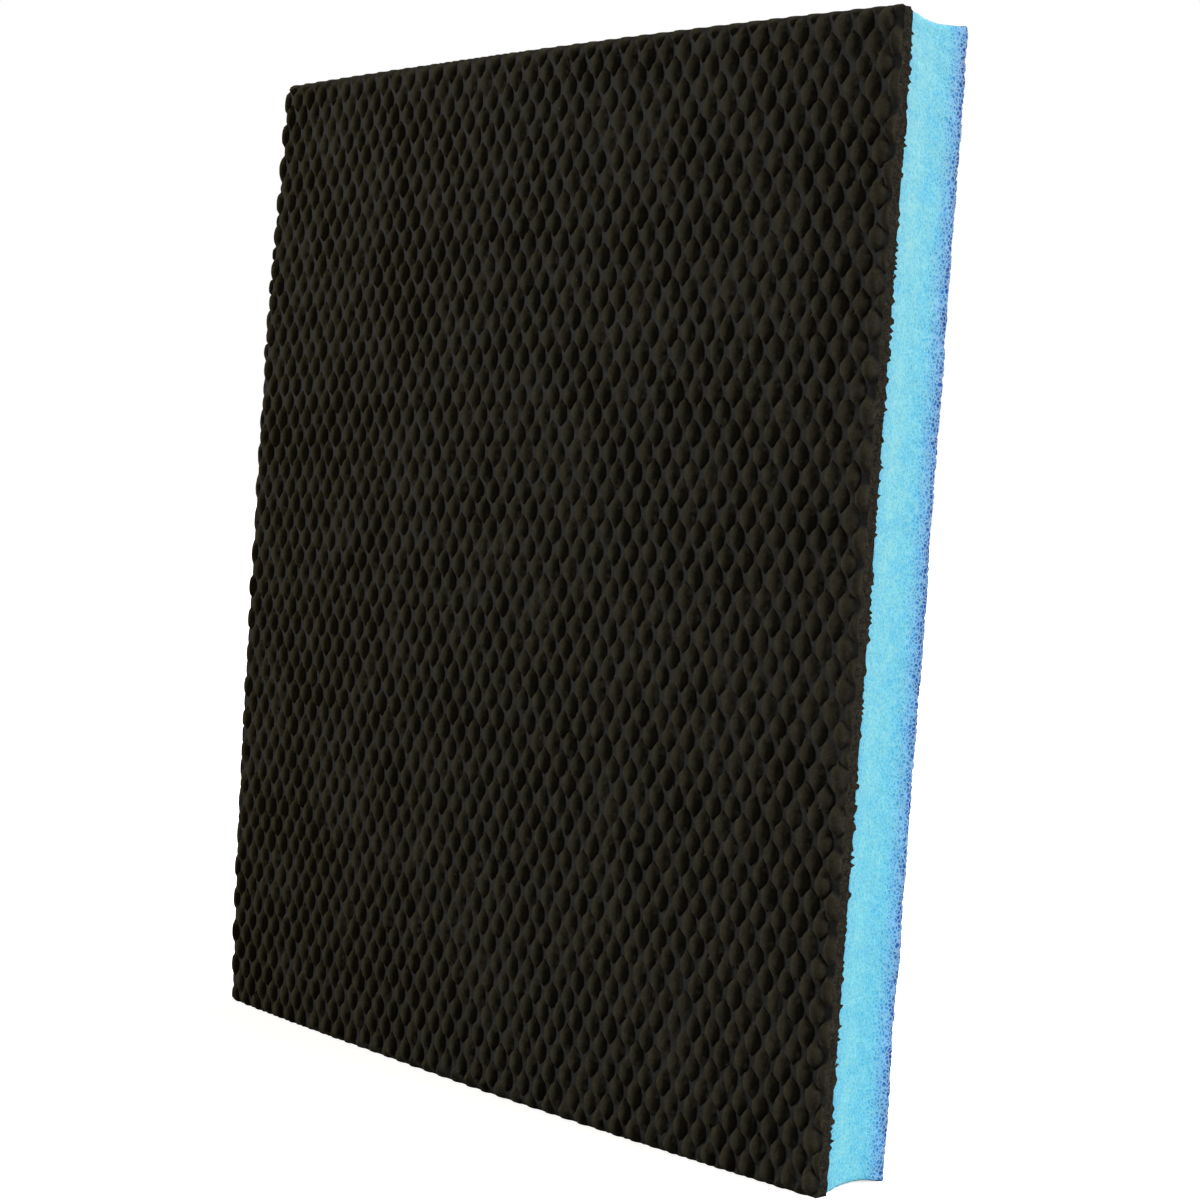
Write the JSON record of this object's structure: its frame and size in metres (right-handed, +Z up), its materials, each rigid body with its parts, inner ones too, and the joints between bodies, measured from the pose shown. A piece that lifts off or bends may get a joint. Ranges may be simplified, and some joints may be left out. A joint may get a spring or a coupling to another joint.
{
  "type": "sponge filter pad",
  "caption": "Flat rectangular two-layer filter sponge: black embossed facing foam laminated to a thick blue open-cell foam core.",
  "frame": {"origin": "centre of the bounding box's underside, where the pad's lower cut edge stands", "axes": "+Z up the height, X along the width, +Y from the black facing to the back of the blue core"},
  "size_m": [0.212, 0.0244, 0.25],
  "materials": {
    "facing_foam": "matt, embossed, fine-pored",
    "bond_adhesive": "thin cured film",
    "core_foam": "matt open-cell foam"
  },
  "bodies": {
    "root": {"facing_sheet": "facing_foam", "bond_film": "bond_adhesive", "foam_core": "core_foam"}
  },
  "joints": []
}
